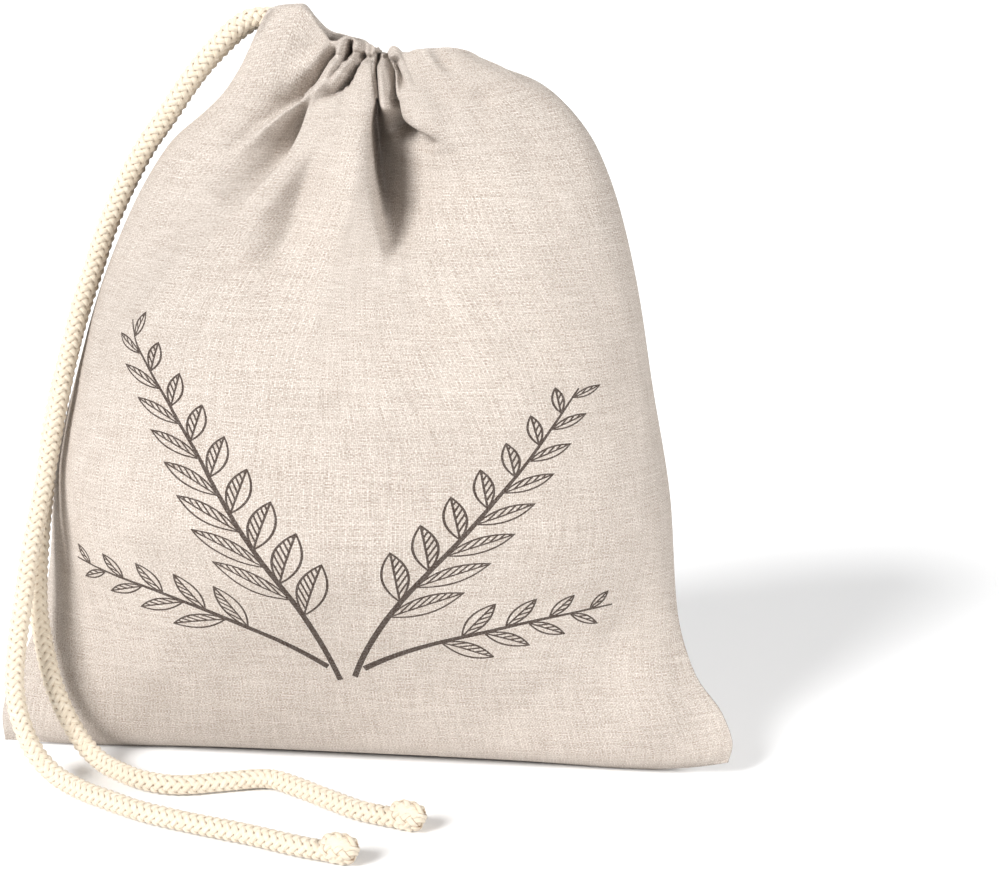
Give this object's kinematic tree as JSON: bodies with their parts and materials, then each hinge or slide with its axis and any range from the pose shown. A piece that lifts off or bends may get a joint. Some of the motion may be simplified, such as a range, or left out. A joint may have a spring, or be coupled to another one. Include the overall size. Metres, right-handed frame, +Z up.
{
  "type": "linen bread bag",
  "caption": "Filled linen drawstring bag standing on its flat base, mouth gathered to a small neck, with two braided cord tails ending in knots.",
  "frame": {"origin": "centre of the bag's box on the surface it stands on, the cords left out", "axes": "+Z up, +X along the width towards the right side seam, the front panel faces -Y"},
  "size_m": [0.285, 0.1821, 0.2862],
  "materials": {
    "linen": "matte natural linen, plain weave with slubs",
    "cotton_cord": "matte cream braided cotton"
  },
  "bodies": {
    "root": {"bag": "linen", "cord_tail_front": "cotton_cord", "cord_tail_back": "cotton_cord", "knot_front": "cotton_cord", "knot_back": "cotton_cord"}
  },
  "joints": []
}
